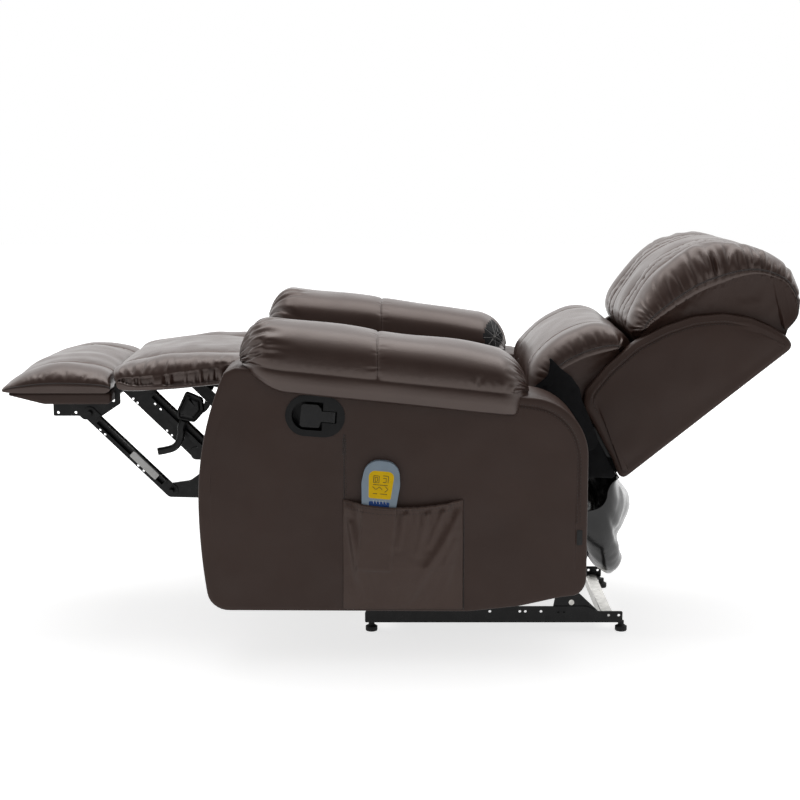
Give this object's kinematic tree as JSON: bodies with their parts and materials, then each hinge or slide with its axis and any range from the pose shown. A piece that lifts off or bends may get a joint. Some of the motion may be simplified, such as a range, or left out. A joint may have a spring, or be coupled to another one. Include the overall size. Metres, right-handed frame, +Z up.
{
  "type": "reclining massage armchair",
  "caption": "Padded recliner armchair, shown reclined, with a folding footrest, gliding base, pull handle and a massage remote in a side pocket.",
  "frame": {"origin": "floor level, under the middle of the reclined chair's bounding box", "axes": "+X from the footrest to the head, +Y across the seat to the sitter's right, +Z up"},
  "size_m": [1.6719, 0.912, 0.8473],
  "materials": {
    "leather": "satin",
    "vinyl": "satin",
    "lining": "matte",
    "felt": "matte",
    "webbing": "matte",
    "black_steel": "satin",
    "zinc_steel": "satin",
    "timber": "matte",
    "black_plastic": "satin",
    "remote_shell": "satin",
    "remote_yellow": "satin",
    "remote_blue": "satin",
    "keys": "matte",
    "rubber": "matte"
  },
  "bodies": {
    "base": {"base_rails": "black_steel", "base_cross_bars": "zinc_steel", "base_gussets": "black_steel", "base_pivot_pins": "zinc_steel", "base_feet": "rubber", "base_bolts": "zinc_steel"},
    "rear_swing": {"rear_swing_link": "black_steel"},
    "front_swing": {"front_swing_link": "black_steel"},
    "chassis": {"mechanism_plates": "black_steel", "carrier_tubes": "black_steel", "chassis_pins": "zinc_steel", "arm_bolts": "zinc_steel", "seat_frame": "timber", "seat_springs": "zinc_steel", "seat_deck": "felt", "seat_cushion": "leather", "seat_motors": "black_plastic", "control_box": "black_plastic", "power_inlet": "black_plastic", "release_cable": "black_plastic", "left_arm_frame": "timber", "right_arm_frame": "timber", "left_arm_cover": "leather", "right_arm_cover": "leather", "left_side_panel": "leather", "right_side_panel": "leather", "left_arm_pad": "leather", "right_arm_pad": "leather", "side_pocket": "leather", "handle_bezel": "black_plastic", "rear_flap": "vinyl"},
    "handle": {"release_handle": "black_plastic"},
    "latch": {"latch_hook": "zinc_steel"},
    "remote": {"remote_body": "remote_shell", "remote_label": "remote_yellow", "remote_keypad": "remote_blue"},
    "key_power": {"power_key": "keys"},
    "key_mode": {"mode_key": "keys"},
    "key_level": {"level_key": "keys"},
    "key_heat": {"heat_key": "keys"},
    "back": {"back_frame": "timber", "back_brackets": "black_steel", "back_webbing": "webbing", "back_panel": "leather", "left_wing": "leather", "right_wing": "leather", "lumbar_pillow": "leather", "headrest_pillow": "leather", "back_lining": "lining", "back_motors": "black_plastic", "heating_pad": "felt"},
    "lower_arms": {"footrest_arms": "black_steel"},
    "long_link_pair": {"long_links": "black_steel"},
    "parallel_link_pair": {"parallel_links": "black_steel", "link_stops": "black_steel"},
    "ottoman": {"ottoman_brackets": "black_steel", "ottoman_board": "leather", "ottoman_cushion": "leather", "ottoman_motor": "black_plastic"},
    "calf_rest": {"calf_pad": "leather"}
  },
  "joints": [
    {"name": "glide", "type": "hinge", "parent": "base", "child": "front_swing", "pos_m": [0.04, 0, 0.066], "axis": [0, 1, 0], "range_deg": [0, 95]},
    {"name": "rear_glide", "type": "hinge", "parent": "base", "child": "rear_swing", "pos_m": [0.372, 0, 0.066], "axis": [0, 1, 0], "range_deg": [0, 95]},
    {"name": "chassis_level", "type": "hinge", "parent": "front_swing", "child": "chassis", "pos_m": [-0.005, 0, 0.14394], "axis": [0, 1, 0], "range_deg": [-95, 0]},
    {"name": "recline", "type": "hinge", "parent": "chassis", "child": "back", "pos_m": [0.34009, 0, 0.43012], "axis": [0, -1, 0], "range_deg": [0, 43], "deforming": ["rear_flap"]},
    {"name": "footrest", "type": "hinge", "parent": "chassis", "child": "lower_arms", "pos_m": [-0.25, 0, 0.415], "axis": [0, -1, 0], "range_deg": [0, 105]},
    {"name": "long_link_knee", "type": "hinge", "parent": "lower_arms", "child": "long_link_pair", "pos_m": [-0.486, 0, 0.319], "axis": [0, -1, 0], "range_deg": [-82, 0]},
    {"name": "parallel_link_knee", "type": "hinge", "parent": "lower_arms", "child": "parallel_link_pair", "pos_m": [-0.369, 0, 0.374], "axis": [0, -1, 0], "range_deg": [-82, 0]},
    {"name": "ottoman_toe", "type": "hinge", "parent": "long_link_pair", "child": "ottoman", "pos_m": [-0.656, 0, 0.486], "axis": [0, -1, 0], "range_deg": [0, 82]},
    {"name": "calf_fold", "type": "hinge", "parent": "chassis", "child": "calf_rest", "pos_m": [-0.31, 0, 0.566], "axis": [0, -1, 0], "range_deg": [0, 54]},
    {"name": "handle_pull", "type": "hinge", "parent": "chassis", "child": "handle", "pos_m": [-0.13209, -0.431, 0.51349], "axis": [0.0698, 0, 0.9976], "range_deg": [0, 28], "stiffness_Nm_per_rad": 0.35, "springref_deg": -5.73},
    {"name": "latch_lift", "type": "hinge", "parent": "chassis", "child": "latch", "pos_m": [-0.204, -0.2095, 0.437], "axis": [0, 1, 0], "range_deg": [0, 14]},
    {"name": "remote_lift", "type": "slide", "parent": "chassis", "child": "remote", "axis": [0.0872, 0, 0.9962], "range_m": [0, 0.105]},
    {"name": "power_press", "type": "slide", "parent": "remote", "child": "key_power", "axis": [0, 1, 0], "range_m": [0, 0.0008], "stiffness_N_per_m": 600, "springref_m": -0.0008},
    {"name": "mode_press", "type": "slide", "parent": "remote", "child": "key_mode", "axis": [0, 1, 0], "range_m": [0, 0.0008], "stiffness_N_per_m": 600, "springref_m": -0.0008},
    {"name": "level_press", "type": "slide", "parent": "remote", "child": "key_level", "axis": [0, 1, 0], "range_m": [0, 0.0008], "stiffness_N_per_m": 600, "springref_m": -0.0008},
    {"name": "heat_press", "type": "slide", "parent": "remote", "child": "key_heat", "axis": [0, 1, 0], "range_m": [0, 0.0008], "stiffness_N_per_m": 600, "springref_m": -0.0008}
  ],
  "couplings": [
    {"joint": "rear_glide", "follows": "glide", "ratio": 1},
    {"joint": "chassis_level", "follows": "glide", "ratio": -1},
    {"joint": "recline", "follows": "glide", "ratio": 0.45263},
    {"joint": "long_link_knee", "follows": "footrest", "ratio": -0.78},
    {"joint": "parallel_link_knee", "follows": "footrest", "ratio": -0.78},
    {"joint": "ottoman_toe", "follows": "footrest", "ratio": 0.78},
    {"joint": "calf_fold", "follows": "footrest", "ratio": 0.51},
    {"joint": "latch_lift", "follows": "handle_pull", "ratio": 0.5}
  ]
}
